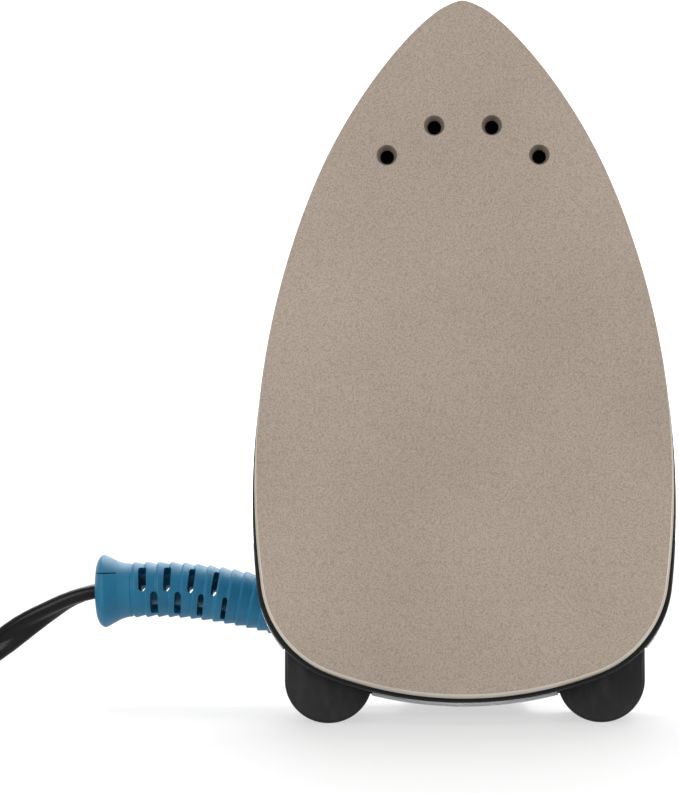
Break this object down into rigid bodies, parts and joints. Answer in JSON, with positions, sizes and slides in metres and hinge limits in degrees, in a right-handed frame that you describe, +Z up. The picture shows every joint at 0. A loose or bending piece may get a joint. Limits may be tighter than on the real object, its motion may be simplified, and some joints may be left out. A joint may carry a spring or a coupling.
{
  "type": "clothes iron",
  "caption": "Compact steam iron on its heel, with clear tank, dial, steam slider, burst button, fill door, swivelling cord guard and coiled cord.",
  "frame": {"origin": "on the floor, under the middle of the iron as it stands on its heel, without its cord and cord guard", "axes": "+Z up and along the iron to its nose (leaning back 7 degrees), -Y the way the sole faces, +X to the right seen from the sole side"},
  "size_m": [0.3092, 0.1352, 0.1833],
  "materials": {
    "sole_coating": "speckled taupe non-stick coating with a bright bevelled edge",
    "steel": "plain drawn steel",
    "brass": "plain brass",
    "silicone": "matte silicone rubber",
    "skirt_black": "glossy black moulding",
    "tank_clear": "clear moulding",
    "housing_black": "satin black moulding",
    "heel_black": "matte black moulding with fine scuffs",
    "grip_black": "soft-touch matte black",
    "accent_blue": "satin blue moulding",
    "guard_blue": "matte blue rubber",
    "white_plastic": "satin white moulding",
    "phenolic": "dull heat-proof moulding",
    "cord_black": "satin black flexible vinyl",
    "amber": "clear amber moulding",
    "wire_white": "white vinyl sleeve"
  },
  "bodies": {
    "iron": {"soleplate": "sole_coating", "heating_element": "steel", "chamber_seal": "silicone", "chamber_cover": "steel", "cover_screw_1": "steel", "cover_screw_2": "steel", "cover_screw_3": "steel", "thermostat_base": "phenolic", "thermal_fuse": "brass", "skirt": "skirt_black", "water_tank": "tank_clear", "tank_lid": "tank_clear", "valve_seat": "silicone", "valve_spring": "steel", "heel_cover": "heel_black", "body_shell": "housing_black", "handle_housing": "housing_black", "handle_grip": "grip_black", "dial_bezel": "white_plastic", "pump_body": "white_plastic", "pump_spring": "steel", "pump_intake_tube": "silicone", "pump_outlet_tube": "silicone", "fill_door_pin": "steel", "fill_spout": "tank_clear", "lamp_lens": "amber", "lamp_bulb": "amber", "terminal_block": "phenolic", "live_wire": "cord_black", "neutral_wire": "wire_white", "heater_wire_left": "wire_white", "heater_wire_right": "wire_white", "heel_screw_1": "steel", "heel_screw_2": "steel"},
    "dial": {"temperature_dial": "accent_blue", "thermostat_stem": "brass"},
    "selector": {"steam_selector": "accent_blue"},
    "valve": {"valve_rod": "steel"},
    "burst": {"burst_button": "accent_blue", "pump_plunger": "white_plastic"},
    "door": {"fill_door": "accent_blue"},
    "swivel": {"swivel_drum": "housing_black", "cord_guard": "guard_blue", "cord_clamp": "white_plastic", "power_cord": "cord_black", "cord_coil": "cord_black", "cord_tail": "cord_black", "coil_tie": "cord_black", "plug_body": "cord_black", "plug_blade_left": "brass", "plug_blade_right": "brass"}
  },
  "joints": [
    {"name": "temperature_dial_turn", "type": "hinge", "parent": "iron", "child": "dial", "pos_m": [0, 0.00632, 0.05587], "axis": [0, 0.9925, -0.1219], "range_deg": [0, 270]},
    {"name": "steam_selector_slide", "type": "slide", "parent": "iron", "child": "selector", "axis": [0, 0.1219, 0.9925], "range_m": [0, 0.005]},
    {"name": "steam_valve_lift", "type": "slide", "parent": "iron", "child": "valve", "axis": [0, 0.9925, -0.1219], "range_m": [0, 0.002]},
    {"name": "burst_button_press", "type": "slide", "parent": "iron", "child": "burst", "axis": [0, -0.9925, 0.1219], "range_m": [0, 0.0035], "stiffness_N_per_m": 1200, "deforming": ["pump_spring"]},
    {"name": "fill_door_swing", "type": "hinge", "parent": "iron", "child": "door", "pos_m": [0, 0.01256, 0.16694], "axis": [1, 0, 0], "range_deg": [0, 100]},
    {"name": "cord_swivel_turn", "type": "hinge", "parent": "iron", "child": "swivel", "pos_m": [0, 0.01994, 0.017], "axis": [0, 0, -1], "range_deg": [0, 180]}
  ],
  "couplings": [
    {"joint": "steam_valve_lift", "follows": "steam_selector_slide", "ratio": 0.4}
  ]
}
